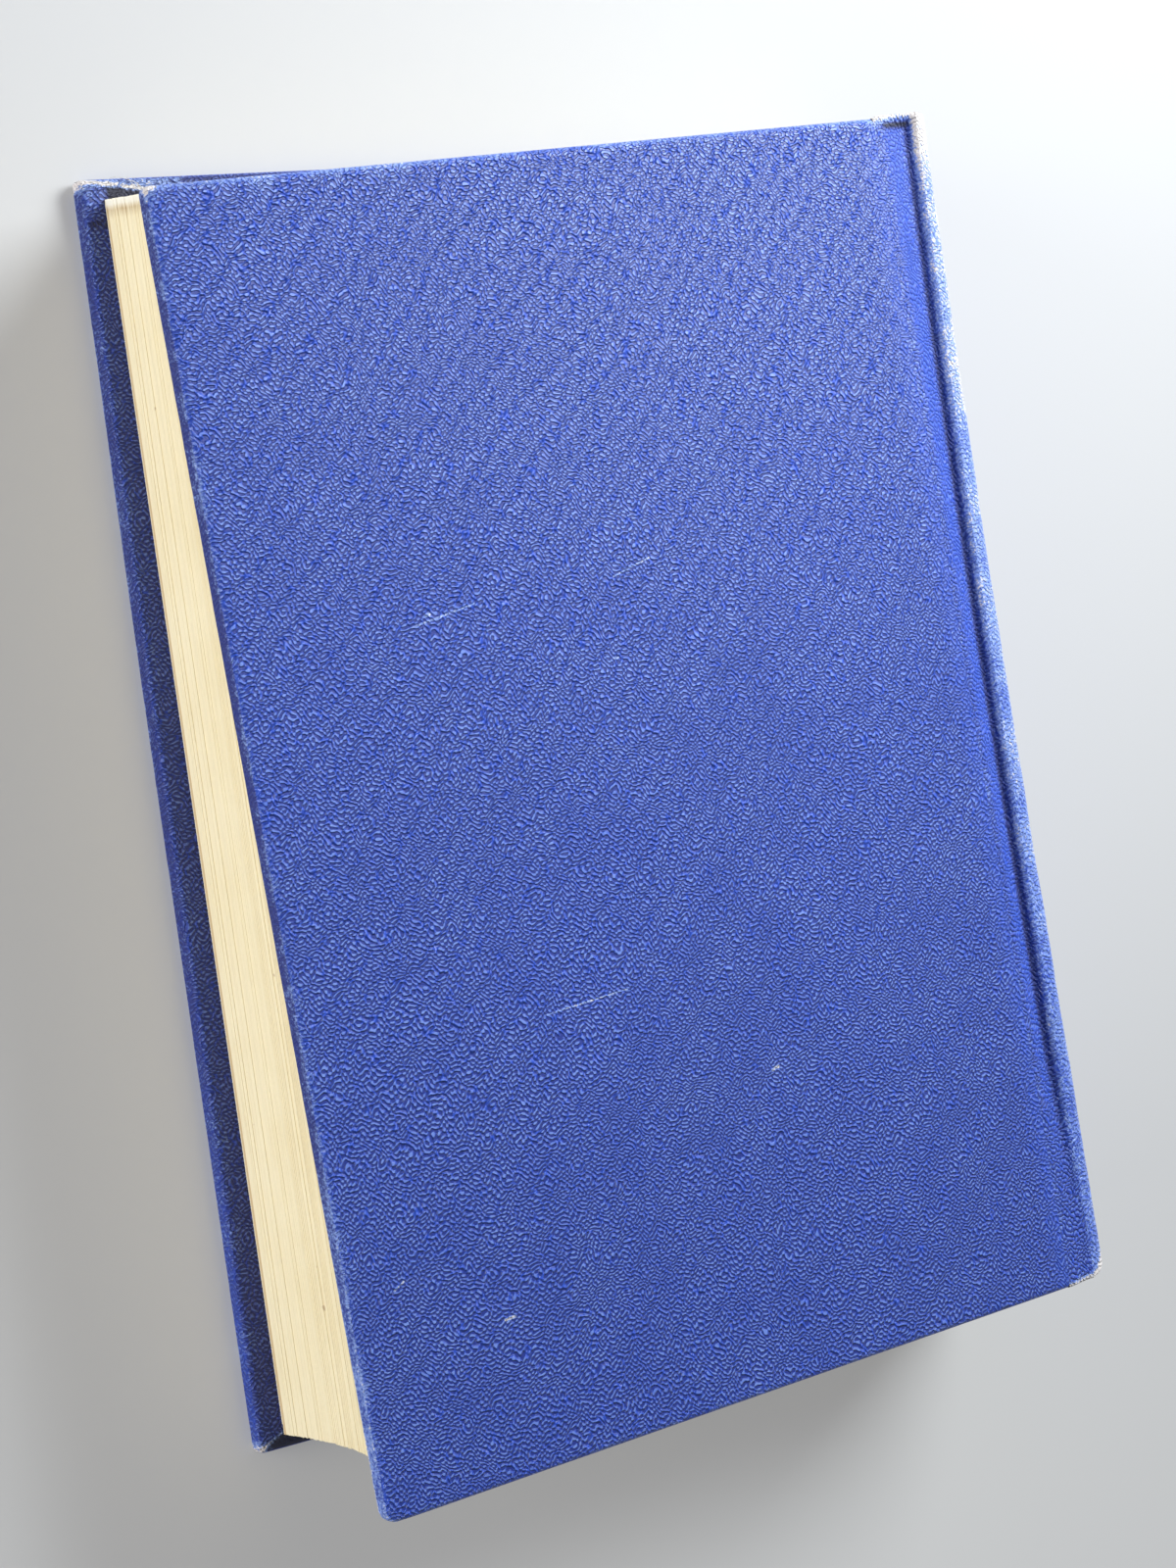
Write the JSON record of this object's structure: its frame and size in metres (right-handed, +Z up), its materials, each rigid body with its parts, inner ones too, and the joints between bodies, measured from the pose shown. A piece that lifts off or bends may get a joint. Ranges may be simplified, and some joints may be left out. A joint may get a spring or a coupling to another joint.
{
  "type": "hardback book",
  "caption": "Closed hardback book lying on its front cover: grained cloth case, rounded page block, both covers hinged at the joints.",
  "frame": {"origin": "centre of the front cover's outer face, which the book lies on", "axes": "+X from the fore edge to the spine, +Y from the tail to the head, +Z up out of the back cover"},
  "size_m": [0.1685, 0.2232, 0.041],
  "materials": {
    "pages": "matte",
    "endpaper": "matte",
    "board": "matte",
    "card": "matte",
    "gauze": "matte",
    "cover_cloth": "satin"
  },
  "bodies": {
    "book_block": {"text_block": "pages", "front_flyleaf": "endpaper", "back_flyleaf": "endpaper", "mull": "gauze", "spine_lining": "card", "spine_inlay": "card", "spine_cloth": "cover_cloth", "front_joint_cloth": "cover_cloth", "back_joint_cloth": "cover_cloth"},
    "front_cover": {"front_board": "board", "front_cover_cloth": "cover_cloth", "front_pastedown": "endpaper"},
    "back_cover": {"back_board": "board", "back_cover_cloth": "cover_cloth", "back_pastedown": "endpaper"}
  },
  "joints": [
    {"name": "front_cover_hinge", "type": "hinge", "parent": "book_block", "child": "front_cover", "pos_m": [0.08035, 0, 0.0008], "axis": [0, -1, 0], "range_deg": [0, 180], "deforming": ["front_joint_cloth"]},
    {"name": "back_cover_hinge", "type": "hinge", "parent": "book_block", "child": "back_cover", "pos_m": [0.07871, 0, 0.0402], "axis": [-0.0227, 0.9997, 0], "range_deg": [0, 180], "deforming": ["back_joint_cloth"]}
  ]
}
